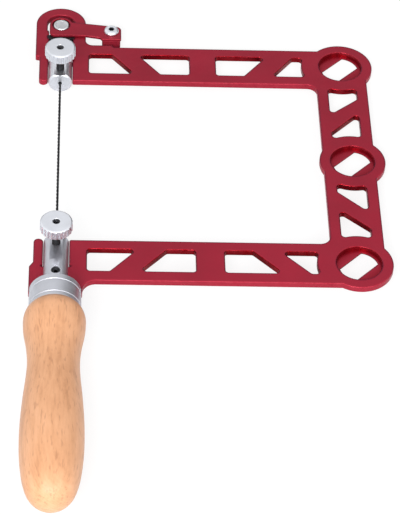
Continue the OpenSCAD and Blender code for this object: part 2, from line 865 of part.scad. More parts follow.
module lever_screw() {
    color([0.8, 0.81, 0.83])
        translate([block_x, block_y, 0])
            difference() {
                union() {
                    translate([0, 0, -block_back + over])
                        cylinder(r = screw_r, h = block_back - over + lever_z, $fn = fine);
                    bevelled_rod(block_head_r, lever_z, lever_z + block_head_t,
                        block_head_t / 2);
                }
                hex_hole(lever_z + block_head_t);
            }
}

lay() frame();
lay() cam_bar();
lay() lower_clamp();
lay() clamp_lock_screw();
lay() ferrule();
lay() handle_rod();
lay() handle_insert();
lay() handle();
lay() spiral_blade();
lay() lower_pad();
lay() lower_screw();
lay() lower_knob();
lay() upper_clamp();
lay() guide_plate();
lay() link_plate();
lay() slide_screws();
lay() pivot_pin();
lay() pivot_clip();
lay() cam_lever();
lay() lever_block();
lay() lever_screw();
lay() upper_pad();
lay() upper_screw();
lay() upper_knob();
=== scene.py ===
"""Dresses the fret saw: fine meshes and materials for each CAD node, camera, light and floor."""

import math

import bmesh
import bpy
from mathutils import Matrix, Vector, geometry


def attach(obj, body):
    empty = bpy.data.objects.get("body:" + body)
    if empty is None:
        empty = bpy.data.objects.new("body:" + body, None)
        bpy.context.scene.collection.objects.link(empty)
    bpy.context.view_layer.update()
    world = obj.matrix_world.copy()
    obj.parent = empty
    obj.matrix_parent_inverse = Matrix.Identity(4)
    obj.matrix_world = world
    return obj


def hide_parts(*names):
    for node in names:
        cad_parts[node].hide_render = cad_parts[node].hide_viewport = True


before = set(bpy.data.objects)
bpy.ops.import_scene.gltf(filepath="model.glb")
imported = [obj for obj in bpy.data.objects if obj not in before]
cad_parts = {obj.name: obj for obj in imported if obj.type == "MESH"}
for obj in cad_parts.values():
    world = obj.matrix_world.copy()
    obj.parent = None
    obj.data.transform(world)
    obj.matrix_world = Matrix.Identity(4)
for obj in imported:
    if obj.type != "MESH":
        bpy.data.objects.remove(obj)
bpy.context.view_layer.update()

MM = 0.001
# the saw's own plane, in mm: X from blade to spine, Y along the blade, Z out of the front face
TIP = math.radians(2.740021)
LEAN = math.radians(1.298805)
LAY = (Matrix.Translation(Vector((-73.104363, -5.368855, 11.872307)))
       @ Matrix.Rotation(LEAN, 4, "Y") @ Matrix.Rotation(-TIP, 4, "X"))

# main sizes in mm, the same as in the part's source
HALF_T = 1.6
THROAT, JAW = 130.0, 114.5
ARM_W, SPINE_W = 26.4, 25.5
ARM_TOP = JAW + ARM_W
SPINE_OUT = THROAT + SPINE_W
# its three discs with their recesses, from the top down
DISCS = [(142.8, 129.1), (144.4, 58.15), (142.8, -12.6)]
DISC_R, RECESS_R, RECESS_D, DISC_SLOT = 16.25, 10.9, 2.4, 5.2
# the round head and the pivot in it
ARCH_R, ARCH_Y = 12.75, ARM_TOP + 17.7
PIVOT_Y = ARM_TOP + 15.6
# half the slot for the clamps, the thin legs beside it and the foot in the ferrule
SLOT, LEG_W, LEG_BACK = 6.15, 4.55, 1.7
FOOT_HALF, FOOT_SLOT, FOOT_DROP = 12.5, 17.9, 35.5
# the clamps, and where their screws are
CLAMP_R, UPPER_END, CYL_TOP = 6.0, 113.7, 129.0
UPPER_SCREW_Y, LOWER_SCREW_Y, SET_SCREW_Y = 119.4, -5.7, -24.4
POST_LOW, CLAMP_FLAT, POST_FLAT_LEN = -41.5, 5.2, 17.0
KNOB_LOW, KNOB_R, KNOB_T = 14.0, 7.7, 5.2
NOTCHES, NOTCH_R = 22, 0.6
SCREW_R, HEX_R, SET_HOLE_R = 2.0, 1.732, 2.15
FERRULE_R, FERRULE_TOP, FERRULE_LEN = 12.15, -32.2, 13.8
HANDLE_R, HANDLE_END = 14.4, -160.6
# the lever's back and front face, its cam, and the key that the cam presses on
FRONT_Z, LEVER_Z = 1.65, 3.05
CAM_R, CAM_OFF, CAM_GAP = 5.5, 0.9, 0.35
BAR_TOP = PIVOT_Y - CAM_OFF - CAM_R - CAM_GAP

# a cutter is this much larger than the piece it makes room for, and the radius of fine edges
FIT, FINE = 0.02, 0.15
# points on the largest circles
ROUND = 192
# limits of turns in radians: straight, no corner of a profile, no corner of a loop, sharpest
STRAIGHT, SLIGHT, CORNER, SHARPEST = 0.004, 0.12, 0.2, 2.6
FILLET_STEP = 0.16
# mesh clean-up in metres, and the angle in degrees from which an edge is sharp
SAME_POINT, NO_LENGTH = 2e-7, 1e-8
SHARP = 38


# outlines in the plane, as loops of points
def circle(x, y, r, count=96):
    step = 2 * math.pi / count
    return [(x + r * math.cos(i * step), y + r * math.sin(i * step)) for i in range(count)]


def rect(x0, y0, x1, y1):
    return [(x0, y0), (x1, y0), (x1, y1), (x0, y1)]


def corner_fill(x, y, r, sx, sy):
    """The filling of an inner corner at x, y, whose free side is toward sx, sy."""
    cx, cy = x + sx * r, y + sy * r
    steps = 24
    angles = [i * math.pi / (2 * steps) for i in range(steps + 1)]
    return [(x, y), *((cx - sx * r * math.cos(a), cy - sy * r * math.sin(a)) for a in angles)]


def area(loop):
    return sum(a[0] * b[1] - b[0] * a[1] for a, b in zip(loop, [*loop[1:], loop[0]])) / 2


def region(adds, cuts=()):
    """The loops round what the adds cover and the cuts leave, with the material on the left."""
    points, faces = [], []
    for loop in [*adds, *cuts]:
        loop = loop if area(loop) > 0 else loop[::-1]
        faces.append(list(range(len(points), len(points) + len(loop))))
        points += [Vector(p) for p in loop]
    verts, _, tris, _, _, owners = geometry.delaunay_2d_cdt(points, [], faces, 0, 1e-5)
    sides = set()
    for tri, own in zip(tris, owners):
        if own and all(o < len(adds) for o in own):
            if area([verts[i] for i in tri]) < 0:
                tri = tri[::-1]
            sides |= {(tri[i], tri[(i + 1) % len(tri)]) for i in range(len(tri))}
    after = {a: b for a, b in sides if (b, a) not in sides}
    loops = []
    while after:
        start, nxt = after.popitem()
        loop = [start]
        while nxt != start:
            loop.append(nxt)
            nxt = after.pop(nxt)
        loops.append(straighten([tuple(verts[i]) for i in loop]))
    return loops


def turn_at(a, b, c):
    u, v = Vector(b) - Vector(a), Vector(c) - Vector(b)
    return math.atan2(u.x * v.y - u.y * v.x, u.dot(v))


def straighten(loop):
    """The loop without points that lie on a straight line."""
    n = len(loop)
    return [loop[i] for i in range(n)
            if abs(turn_at(loop[i - 1], loop[i], loop[(i + 1) % n])) > STRAIGHT]


def walk(loop, i, step, reach):
    """The point that lies a given way along the loop from point i, and the steps to it."""
    here = Vector(loop[i])
    n = len(loop)
    for k in range(1, n):
        there = Vector(loop[(i + step * k) % n])
        way = (there - here).length
        if way >= reach:
            return here.lerp(there, reach / way), k
        reach -= way
        here = there
    return here, n


def fillet(a, corner, b, turn):
    """The points of a circular arc from a to b that rounds a corner."""
    steps = max(3, math.ceil(turn / FILLET_STEP))
    w = math.cos(turn / 2)
    curve = []
    for s in range(steps + 1):
        t = s / steps
        total = (1 - t) ** 2 + 2 * w * t * (1 - t) + t * t
        curve.append(tuple((a * (1 - t) ** 2 + corner * 2 * w * t * (1 - t) + b * t * t) / total))
    return curve


def soften(loop, radius):
    """Rounds the loop's corners, leaving its arcs, by a radius or a function of the corner."""
    n = len(loop)
    drop, curves = set(), {}
    for i in range(n):
        turn = turn_at(loop[i - 1], loop[i], loop[(i + 1) % n])
        if abs(turn) < CORNER:
            continue
        r = radius(loop[i], turn) if callable(radius) else radius
        if r <= 0:
            continue
        reach = r * math.tan(min(abs(turn), SHARPEST) / 2)
        a, before = walk(loop, i, -1, reach)
        b, after = walk(loop, i, 1, reach)
        curves[i] = fillet(a, Vector(loop[i]), b, abs(turn))
        drop |= {(i - k) % n for k in range(1, before)} | {(i + k) % n for k in range(1, after)}
    out = []
    for i in range(n):
        if i in curves:
            out += curves[i]
        elif i not in drop:
            out.append(loop[i])
    return out


def inset(loop, way):
    """The loop moved toward the material on its left."""
    n = len(loop)
    out = []
    for i in range(n):
        a, b, c = (Vector(loop[j]) for j in ((i - 1) % n, i, (i + 1) % n))
        u, v = (b - a).normalized(), (c - b).normalized()
        nu, nv = Vector((-u.y, u.x)), Vector((-v.y, v.x))
        m = nu + nv
        out.append(tuple(b + m * (way / max(m.dot(nu), 0.5))))
    return out


# meshes
class Shell:
    """Faces and points in mm, and for each point its wear, its way along a turned profile and
    how much painted shade it takes in a hole."""

    def __init__(self):
        self.points, self.faces, self.wear, self.turn, self.deep = [], [], [], [], []

    def point(self, p, wear=0.0, turn=0.0, deep=0.0):
        self.points.append(Vector(p))
        self.wear.append(wear)
        self.turn.append(turn)
        self.deep.append(deep)
        return len(self.points) - 1

    def ring(self, loop, z, wear=0.0, deep=0.0):
        return [self.point((p[0], p[1], z), wear, 0.0, deep) for p in loop]

    def bridge(self, low, high):
        n = len(low)
        for i in range(n):
            j = (i + 1) % n
            self.faces.append((low[i], low[j], high[j], high[i]))

    def fill(self, rings, up=True):
        """Fills between rings of points that lie in one plane."""
        flat, faces = [], []
        for ring in rings:
            if area([self.points[i] for i in ring]) < 0:
                ring = ring[::-1]
            faces.append(list(range(len(flat), len(flat) + len(ring))))
            flat += ring
        spots = [self.points[i].xy for i in flat]
        verts, _, tris, origin, _, owners = geometry.delaunay_2d_cdt(spots, [], faces, 0, 1e-7)
        for tri, own in zip(tris, owners):
            if len(own) % 2 and all(origin[i] for i in tri):
                ids = [flat[origin[i][0]] for i in tri]
                if (area([verts[i] for i in tri]) > 0) != up:
                    ids.reverse()
                self.faces.append(tuple(ids))


def edge_rows(z, bevel, toward, steps=3):
    """Insets and heights of a rounded edge, from the wall to the face at height z."""
    angles = [s / steps * math.pi / 2 for s in range(steps + 1)]
    return [(bevel * (1 - math.cos(a)), z + toward * bevel * (math.sin(a) - 1)) for a in angles]


def wall(shell, loop, low, high, bevel_low, bevel_high, support=0.3, hole_shade=1.0):
    """A wall with rounded edges along a loop, worn at its upper edge and, in a hole, marked for
    painted shade.
    Gives the rings that border the two faces."""
    rows = []
    if bevel_low:
        rows += [(i, z, 1) for i, z in reversed(edge_rows(low, bevel_low, -1))]
        rows.insert(0, (bevel_low + support, low, 0))
    else:
        rows.append((0, low, 0))
    if bevel_high:
        rows += [(i, z, 1) for i, z in edge_rows(high, bevel_high, 1)]
        rows.append((bevel_high + support, high, 0))
    else:
        rows.append((0, high, 0))
    # walls round a hole take painted shade, by the given share
    pocket_shade = hole_shade * (area(loop) < 0)
    middle = (low + high) / 2
    rings = [shell.ring(inset(loop, i), z, w * (z > middle), pocket_shade * (i < bevel_high * 0.5))
             for i, z, w in rows]
    for a, b in zip(rings, rings[1:]):
        shell.bridge(a, b)
    return rings[0], rings[-1]


def plate(loops, low, high, bevel_low, bevel_high, support):
    """A plate between two heights. The support is a flat strip inside its rounded edges."""
    shell = Shell()
    ends = [wall(shell, loop, low, high, bevel_low, bevel_high, support) for loop in loops]
    shell.fill([back for back, _ in ends], up=False)
    shell.fill([front for _, front in ends])
    return shell


def soft_line(profile, radius):
    """An open profile with rounded corners."""
    out = [profile[0]]
    for i in range(1, len(profile) - 1):
        a, b, c = (Vector(profile[j]) for j in (i - 1, i, i + 1))
        turn = abs(turn_at(a, b, c))
        room = min((b - a).length, (c - b).length) * 0.45
        if turn < SLIGHT:
            out.append(tuple(b))
            continue
        reach = min(radius * math.tan(min(turn, SHARPEST) / 2), room)
        p, q = b + (a - b).normalized() * reach, b + (c - b).normalized() * reach
        for s in range(5):
            t = s / 4
            out.append(tuple(p * (1 - t) ** 2 + b * 2 * t * (1 - t) + q * t * t))
    out.append(profile[-1])
    return out


def cylinder(r, low, high):
    """The profile of a solid cylinder."""
    return [(0, low), (r, low), (r, high), (0, high)]


def lathe(profile, centre=(0, 0), segments=96, shape=None, wear=None, axis="Z", shell=None):
    """Turns a profile of radius and height. A shape function may change a radius by its angle."""
    shell = shell or Shell()
    centre = Vector((*centre, 0))
    rings, way = [], 0.0
    for k, (r, h) in enumerate(profile):
        if k:
            way += math.dist(profile[k - 1], (r, h))
        w = wear[k] if wear else 0.0
        if r < 1e-6:
            p = (0, 0, h) if axis == "Z" else (0, h, 0)
            rings.append([shell.point(centre + Vector(p), w, way)])
            continue
        ring = []
        for i in range(segments):
            a = 2 * math.pi * i / segments
            q = shape(r, a, h) if shape else r
            x, y = q * math.cos(a), q * math.sin(a)
            p = (x, y, h) if axis == "Z" else (x, h, -y)
            ring.append(shell.point(centre + Vector(p), w, way))
        rings.append(ring)
    for a, b in zip(rings, rings[1:]):
        if len(a) == 1 and len(b) == 1:
            continue
        for i in range(segments):
            j = (i + 1) % segments
            if len(a) == 1:
                shell.faces.append((a[0], b[j], b[i]))
            elif len(b) == 1:
                shell.faces.append((a[i], a[j], b[0]))
            else:
                shell.faces.append((a[i], a[j], b[j], b[i]))
    return shell


def mesh_of(shell, name, sharp=SHARP):
    mesh = bpy.data.meshes.new(name)
    mesh.from_pydata([tuple(LAY @ p * MM) for p in shell.points], [], shell.faces)
    for key, values in (("wear", shell.wear), ("turn", shell.turn), ("deep", shell.deep)):
        mesh.attributes.new(key, "FLOAT", "POINT").data.foreach_set("value", values)
    bm = bmesh.new()
    bm.from_mesh(mesh)
    bmesh.ops.remove_doubles(bm, verts=bm.verts, dist=SAME_POINT)
    bmesh.ops.dissolve_degenerate(bm, edges=bm.edges, dist=NO_LENGTH)
    loose = [v for v in bm.verts if not v.link_faces]
    bmesh.ops.delete(bm, geom=loose, context="VERTS")
    bmesh.ops.recalc_face_normals(bm, faces=bm.faces)
    finish_faces(bm, sharp)
    bm.to_mesh(mesh)
    bm.free()
    return mesh


def finish_faces(bm, sharp):
    for face in bm.faces:
        face.smooth = True
    for edge in bm.edges:
        edge.smooth = (len(edge.link_faces) == 2
                       and edge.calc_face_angle(0) < math.radians(sharp))


def joined(mesh, other):
    """The first mesh with the faces of the other added."""
    bm = bmesh.new()
    bm.from_mesh(mesh)
    bm.from_mesh(other)
    bm.to_mesh(mesh)
    bm.free()
    return mesh


def in_scene(name, data):
    """A new object in the scene."""
    obj = bpy.data.objects.new(name, data)
    bpy.context.scene.collection.objects.link(obj)
    return obj


def put(name, shape, body, material, node):
    """Places a shell or a mesh on a body, in place of the CAD node it stands for."""
    mesh = mesh_of(shape, name) if isinstance(shape, Shell) else shape
    obj = in_scene(name, mesh)
    mesh.materials.append(material)
    flat = obj.modifiers.new("even_normals", "WEIGHTED_NORMAL")
    flat.keep_sharp = True
    flat.weight = 100
    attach(obj, body)
    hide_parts(node)


def carve(mesh, cutters, sharp=SHARP):
    """The mesh less the cutters, each a mesh of its own."""
    base = in_scene("carve", mesh)
    tools = [in_scene("cutter", cutter) for cutter in cutters]
    for tool in tools:
        step = base.modifiers.new("cut", "BOOLEAN")
        step.operation = "DIFFERENCE"
        step.solver = "EXACT"
        step.object = tool
    bpy.context.view_layer.update()
    seen = base.evaluated_get(bpy.context.evaluated_depsgraph_get())
    out = bpy.data.meshes.new_from_object(seen)
    out.name = mesh.name
    for obj in [base, *tools]:
        data = obj.data
        bpy.data.objects.remove(obj)
        bpy.data.meshes.remove(data)
    bm = bmesh.new()
    bm.from_mesh(out)
    bmesh.ops.remove_doubles(bm, verts=bm.verts, dist=SAME_POINT)
    finish_faces(bm, sharp)
    bm.to_mesh(out)
    bm.free()
    return out


def rod_tool(r, low, high, x=0, y=0, axis="Z"):
    return mesh_of(lathe(cylinder(r, low, high), (x, y), 64, axis=axis), "rod_tool")


def box_tool(x0, y0, z0, x1, y1, z1):
    shell = Shell()
    low, high = (shell.ring(rect(x0, y0, x1, y1), z) for z in (z0, z1))
    shell.bridge(low, high)
    shell.faces += [low[::-1], high]
    return mesh_of(shell, "box_tool")


# materials
def times(colour, factor):
    return tuple(c * factor for c in colour)


class Nodes:
    """The nodes of a material or the world."""

    def __init__(self, owner):
        owner.use_nodes = True
        self.tree = owner.node_tree
        self.tree.nodes.clear()

    def add(self, kind, inputs=None, **settings):
        """Adds a node. Its inputs, by name or number, are values or other nodes' outputs."""
        node = self.tree.nodes.new("ShaderNode" + kind)
        for key, value in settings.items():
            setattr(node, key, value)
        for key, value in (inputs or {}).items():
            if isinstance(value, bpy.types.NodeSocket):
                self.tree.links.new(value, node.inputs[key])
            else:
                node.inputs[key].default_value = value
        return node

    def math(self, operation, a, b=0.0):
        return self.add("Math", {0: a, 1: b}, operation=operation).outputs[0]

    def noise(self, scale, detail, rough=0.5, stretch=(1, 1, 1)):
        place = self.add("Mapping", {"Vector": self.coords, "Scale": stretch}).outputs[0]
        return self.add("TexNoise", {"Vector": place, "Scale": scale, "Detail": detail,
                                     "Roughness": rough}).outputs["Fac"]

    def rings(self, offset, tilt, scale, distortion):
        """Growth rings round a line near the Y axis."""
        place = self.add("Mapping", {"Vector": self.coords, "Location": offset,
                                     "Rotation": (tilt, 0, tilt)}).outputs[0]
        inputs = {"Vector": place, "Scale": scale, "Distortion": distortion, "Detail": 3,
                  "Detail Scale": 1.4}
        wave = self.add("TexWave", inputs, wave_type="RINGS", rings_direction="Y")
        return wave.outputs["Fac"]

    def attribute(self, name):
        return self.add("Attribute", attribute_name=name).outputs["Fac"]

    def ramp(self, value, *stops):
        node = self.add("ValToRGB", {0: value})
        ramp = node.color_ramp
        while len(ramp.elements) < len(stops):
            ramp.elements.new(0.5)
        for element, (at, colour) in zip(ramp.elements, stops):
            element.position = at
            element.color = (*colour, 1.0)
        return node.outputs[0]

    def mix(self, factor, a, b):
        """Mixes two colours, each an output or a tuple."""
        a, b = ((*colour, 1.0) if isinstance(colour, tuple) else colour for colour in (a, b))
        return self.add("Mix", {0: factor, 6: a, 7: b}, data_type="RGBA").outputs[2]

    def blend(self, factor, first, second):
        return self.add("MixShader", {0: factor, 1: first, 2: second}).outputs[0]

    def span(self, value, low, high, start=0.0, end=1.0):
        """Turns a value between start and end into one between low and high."""
        return self.add("MapRange", {0: value, 1: start, 2: end, 3: low, 4: high}).outputs[0]

    def bump(self, height, distance, strength, normal=None):
        """A bump of a distance in metres, on top of another normal where one is given."""
        inputs = {"Height": height, "Distance": distance, "Strength": strength}
        if normal:
            inputs["Normal"] = normal
        return self.add("Bump", inputs).outputs[0]

    def parts(self, vector):
        return self.add("SeparateXYZ", {0: vector}).outputs

    # the mask of the painted shade on rims
    def edge_tilt(self, radius):
        """How far an edge close by leans to the far side or sideways, on faces that look up."""
        bevel = self.add("Bevel", {"Radius": radius}, samples=4)
        x, y, _ = self.parts(bevel.outputs[0])
        lean = self.math("ADD", y, self.math("MULTIPLY", self.math("ABSOLUTE", x), 0.6))
        up = self.parts(self.add("NewGeometry").outputs["Normal"])[2]
        return self.math("MULTIPLY", lean, self.span(up, 0, 1, 0.3, 0.9))


class Finish(Nodes):
    """A material with one principled shader."""

    def __init__(self, name):
        self.material = bpy.data.materials.new(name)
        super().__init__(self.material)
        self.shader = self.add("BsdfPrincipled")
        self.add("OutputMaterial", {0: self.shader.outputs[0]})
        self.coords = self.add("TexCoord").outputs["Object"]

    def set(self, **values):
        for key, value in values.items():
            self.shader.inputs[key.replace("_", " ")].default_value = value

    def to(self, socket, value):
        self.tree.links.new(value, self.shader.inputs[socket])


# painted shade for the inside of key holes, and the distance of a turning tool's grooves in mm
KEY_HOLE_SHADE = (0.01, 0.01, 0.014)
TURNING_STEP = 0.28


def red_metal(name, base, worn, pocket_shade, edge):
    """Anodised aluminium: a fine blasted grain, faint clouds, painted shade on rims that lean to
    the far side or sideways, painted shade on the walls of holes and recesses, which are also
    glossier.
    """
    n = Finish(name)
    clouds = n.noise(38, detail=3, rough=0.6)
    body = n.ramp(clouds, (0.3, times(base, 0.88)), (0.5, base), (0.72, times(base, 1.1)))
    deep = n.attribute("deep")
    # painted shade on the walls of holes and recesses
    body = n.mix(n.math("MULTIPLY", deep, n.span(clouds, 0.75, 1, 0.3, 0.6)), body, pocket_shade)
    speck = n.span(n.noise(420, detail=2), 0, 1, 0.35, 0.75)
    rub = n.math("MULTIPLY", n.attribute("wear"), n.math("MULTIPLY", speck, 0.3))
    body = n.mix(rub, body, worn)
    # painted shade on rims that lean to the far side or sideways
    rim_shade = n.span(n.edge_tilt(0.0012), 0, 0.9, 0.03, 0.36)
    n.to("Base Color", n.mix(rim_shade, body, edge))
    satin = n.span(n.noise(150, detail=3), 0.32, 0.44, 0.3, 0.7)
    n.to("Roughness", n.math("SUBTRACT", satin, n.math("MULTIPLY", deep, 0.16)))
    n.to("Metallic", n.span(deep, 0.4, 0.9))
    n.to("Normal", n.bump(n.noise(5200, detail=2, rough=0.6), distance=3e-5, strength=0.35))
    n.set(Specular_IOR_Level=0.2)
    return n.material


def turned_metal(name, colour, rough):
    """Turned metal: fine rings along the profile, faint clouds and streaks of shine."""
    n = Finish(name)
    clouds = n.noise(90, detail=3, rough=0.55)
    body = n.ramp(clouds, (0.3, times(colour, 0.9)), (0.7, colour))
    # painted shade inside key holes
    n.to("Base Color", n.mix(n.attribute("deep"), body, KEY_HOLE_SHADE))
    way = n.math("MULTIPLY", n.attribute("turn"), 2 * math.pi / TURNING_STEP)
    rings = n.math("SINE", n.math("ADD", way, n.math("MULTIPLY", clouds, 1.4)))
    n.to("Roughness", n.span(n.noise(260, detail=3), rough - 0.05, rough + 0.07, 0.3, 0.7))
    n.to("Normal", n.bump(rings, distance=6e-6, strength=0.3))
    n.set(Metallic=1.0)
    return n.material


def plain_metal(name, colour, rough, metallic=1.0):
    """Machined or blackened metal with a fine grain and faint clouds."""
    n = Finish(name)
    clouds = n.noise(160, detail=3, rough=0.6)
    pale = tuple(min(c * 1.15 + 0.01, 1) for c in colour)
    body = n.ramp(clouds, (0.3, times(colour, 0.85)), (0.7, pale))
    rub = n.math("MULTIPLY", n.attribute("wear"), n.span(n.noise(500, detail=2), 0, 0.5, 0.4, 0.8))
    body = n.mix(rub, body, tuple(min(c * 1.8 + 0.06, 1) for c in colour))
    # painted shade inside key holes
    n.to("Base Color", n.mix(n.attribute("deep"), body, KEY_HOLE_SHADE))
    n.to("Roughness", n.span(n.noise(300, detail=3), rough - 0.06, rough + 0.08, 0.3, 0.7))
    n.to("Normal", n.bump(n.noise(2600, detail=2), distance=1e-5, strength=0.4))
    n.set(Metallic=metallic)
    return n.material


def wood(name):
    """Varnished beech: wavy fibres, faint growth rings, many short rays along them, a thin coat."""
    n = Finish(name)
    fibre = n.noise(170, detail=6, rough=0.65, stretch=(1, 0.22, 1))
    streak = n.noise(520, detail=4, rough=0.6, stretch=(1, 0.1, 1))
    clouds = n.noise(34, detail=3, rough=0.55, stretch=(1, 0.5, 1))
    rings = n.rings((0.079, 0.1, 0.004), tilt=0.05, scale=300, distortion=3.2)
    tone = n.math("MULTIPLY", fibre, 0.42)
    for layer, share in ((clouds, 0.27), (streak, 0.26), (rings, 0.03)):
        tone = n.math("ADD", tone, n.math("MULTIPLY", layer, share))
    body = n.ramp(tone, (0.37, (0.55, 0.263, 0.13)), (0.45, (0.65, 0.328, 0.17)),
                  (0.52, (0.7, 0.364, 0.196)), (0.61, (0.74, 0.405, 0.235)))
    rays = n.noise(900, detail=1.5, stretch=(1, 0.2, 1))
    ray = n.span(rays, 0, 0.4, 0.58, 0.7)
    n.to("Base Color", n.mix(ray, body, (0.36, 0.15, 0.07)))
    n.to("Roughness", n.span(fibre, 0.42, 0.55, 0.3, 0.7))
    pores = n.bump(streak, distance=6e-5, strength=0.3)
    n.to("Normal", n.bump(rays, distance=4e-5, strength=0.2, normal=pores))
    n.set(Coat_Weight=0.15, Coat_Roughness=0.36, Specular_IOR_Level=0.3)
    return n.material


# the pocket colour is painted shade on the walls of holes and recesses, the edge colour painted
# shade on rims
RED = red_metal("red_anodised", base=(0.31, 0.0135, 0.031), worn=(0.42, 0.05, 0.07),
                pocket_shade=(0.2, 0.001, 0.004), edge=(0.1, 0.005, 0.022))
TURNED = turned_metal("turned_aluminium", (0.71, 0.72, 0.76), 0.36)
BRUSHED = turned_metal("brushed_aluminium", (0.54, 0.545, 0.585), 0.42)
ALUMINIUM = plain_metal("machined_aluminium", (0.68, 0.69, 0.73), 0.34)
STEEL = plain_metal("bright_steel", (0.55, 0.55, 0.57), 0.3)
BLACK = plain_metal("black_steel", (0.008, 0.008, 0.01), 0.42, 0.7)
BRASS = plain_metal("brass", (0.68, 0.45, 0.15), 0.3)
WOOD = wood("varnished_wood")


# the frame plate
# corners of the openings, in shares of the box that each one lies in
UPPER_CUTS = [[(0.112, 0.03), (0.289, 0.03), (0.201, 1), (0.112, 1)],
              [(0.391, 0.03), (0.504, 0.03), (0.504, 1), (0.304, 1)],
              [(0.609, 0.03), (0.718, 0.03), (0.806, 1), (0.609, 1)],
              [(0.826, 0.03), (0.987, 0.03), (0.987, 1), (0.911, 1)]]
LOWER_CUTS = [[(0.112, 0.04), (0.194, 0.04), (0.293, 1), (0.112, 1)],
              [(0.3, 0.04), (0.505, 0.04), (0.505, 1), (0.401, 1)],
              [(0.611, 0.04), (0.82, 0.04), (0.713, 1), (0.611, 1)],
              [(0.923, 0.04), (1, 0.04), (1, 1), (0.815, 1)]]
# in the spine also the discs below and above the box, and the disc that cuts the opening short
SPINE_CUTS = [([(0, 0.483), (1, 0.648), (1, 0.95), (0, 0.95)], 1, 0, 0),
              ([(0, 0.295), (0, 0.05), (1, 0.05), (1, 0.503)], 1, 0, 1),
              ([(0, 0.686), (1, 0.495), (1, 0.95), (0, 0.95)], 2, 1, 1),
              ([(0, 0.511), (0, 0.05), (1, 0.05), (1, 0.33)], 2, 1, 2)]
ARM_STRIP, SPINE_STRIP = 5.7, 5.6
ARM_DISC_GAP, SPINE_DISC_GAP = 3.75, 2
OPENING_FILLET = 1.6
THROAT_FILLET = 5
OUTER_CORNER, INNER_CORNER = 0.9, 0.7
# the head from above the jaw, its low step along the arm, and its window from the arm's top
HEAD_FOOT, WINDOW_FOOT = 18.4, 12.2
STEP_UP, STEP_END, STEP_FILLET = 1.5, 26.7, 3.6
WINDOW_HALF, WINDOW_RIM, WINDOW_FILLET = 7, 5.5, 6.4
FOOT_FILLET, FOOT_SHOULDER, UPPER_LEG = 6.5, -15, 18
RELIEF_R = 0.8
# how far the edges are rounded
BACK_EDGE, FRONT_EDGE, RECESS_EDGE = 0.32, 0.42, 0.32
DISC_SLOT_RIM, DISC_SLOT_BACK, DISC_SLOT_FRONT = 1.6, 0.2, 0.12
# the share of painted shade on the recess walls
RECESS_SHADE = 0.7


def share_cut(corners, x0, x1, y0, y1):
    return [(x0 + s * (x1 - x0), y0 + t * (y1 - y0)) for s, t in corners]


def truss_holes():
    holes = []
    rows = [(c, JAW + ARM_STRIP, ARM_TOP - ARM_STRIP, 0) for c in UPPER_CUTS]
    rows += [(c, ARM_STRIP - ARM_W, -ARM_STRIP, 2) for c in LOWER_CUTS]
    for corners, low, high, disc in rows:
        shape = share_cut(corners, 0, THROAT, low, high)
        holes += region([shape], [circle(*DISCS[disc], DISC_R + ARM_DISC_GAP, ROUND)])
    left, right = THROAT + SPINE_STRIP, SPINE_OUT - SPINE_STRIP
    for corners, low, high, disc in SPINE_CUTS:
        shape = share_cut(corners, left, right, DISCS[low][1], DISCS[high][1])
        holes += region([shape], [circle(*DISCS[disc], DISC_R + SPINE_DISC_GAP, ROUND)])
    return [soften(hole, OPENING_FILLET) for hole in holes]


def arm_outlines():
    """Both arms, the spine, the filled corners of the throat and the discs."""
    return [rect(SLOT, -ARM_W, DISCS[2][0], 0),
            rect(SLOT, JAW, DISCS[0][0], ARM_TOP),
            rect(THROAT, DISCS[2][1], SPINE_OUT, DISCS[0][1]),
            corner_fill(THROAT, 0, THROAT_FILLET, -1, 1),
            corner_fill(THROAT, JAW, THROAT_FILLET, -1, -1),
            *[circle(*disc, DISC_R, ROUND) for disc in DISCS]]


def head_outlines():
    step_top = ARM_TOP + STEP_UP
    return [rect(-ARCH_R, JAW + HEAD_FOOT, ARCH_R, ARCH_Y),
            circle(0, ARCH_Y, ARCH_R, 144),
            rect(SLOT, ARM_TOP - 1, STEP_END, step_top),
            corner_fill(ARCH_R, step_top, STEP_FILLET, 1, 1)]


def foot_outlines():
    """The foot in the ferrule and the slanting shoulder that carries the lower leg."""
    return [rect(-FOOT_HALF, -FOOT_DROP, FOOT_HALF, -FOOT_SLOT),
            corner_fill(FOOT_HALF, -ARM_W, FOOT_FILLET, 1, -1),
            [(-FOOT_HALF, -FOOT_SLOT - 1), (-SLOT, -FOOT_SLOT - 1), (-SLOT, FOOT_SHOULDER),
             (-SLOT - LEG_W, FOOT_SHOULDER), (-FOOT_HALF, -FOOT_SLOT)]]


def leg_outlines():
    """The thin legs left of the slot, each with a round end."""
    r = LEG_W / 2
    x = -SLOT - r
    legs = []
    for end, run in ((JAW + LEG_BACK, UPPER_LEG), (-LEG_BACK, -FOOT_SLOT)):
        legs += [circle(x, end, r, 64),
                 rect(x - r, min(end, end + run), x + r, max(end, end + run))]
    return legs


def slot_cuts():
    """The slots for both clamps, the head's window, the seat of the cam key and two reliefs."""
    window = rect(-WINDOW_HALF, ARM_TOP + WINDOW_FOOT, WINDOW_HALF, ARCH_Y + ARCH_R - WINDOW_RIM)
    seat = SLOT + 0.75
    return [rect(-SLOT, JAW - 4, SLOT, ARM_TOP + WINDOW_FOOT + 0.1),
            soften(window, lambda p, turn: WINDOW_FILLET * (p[1] > ARCH_Y)),
            rect(-seat, BAR_TOP - 3.05, seat, BAR_TOP + 0.05),
            rect(-SLOT, -FOOT_SLOT, SLOT, LEG_W),
            *[circle(side * SLOT, RELIEF_R - FOOT_SLOT, RELIEF_R, 32) for side in (-1, 1)]]


def frame_outline():
    adds = arm_outlines() + head_outlines() + foot_outlines() + leg_outlines()
    return [soften(loop, lambda p, turn: OUTER_CORNER if turn > 0 else INNER_CORNER)
            for loop in region(adds, slot_cuts())]


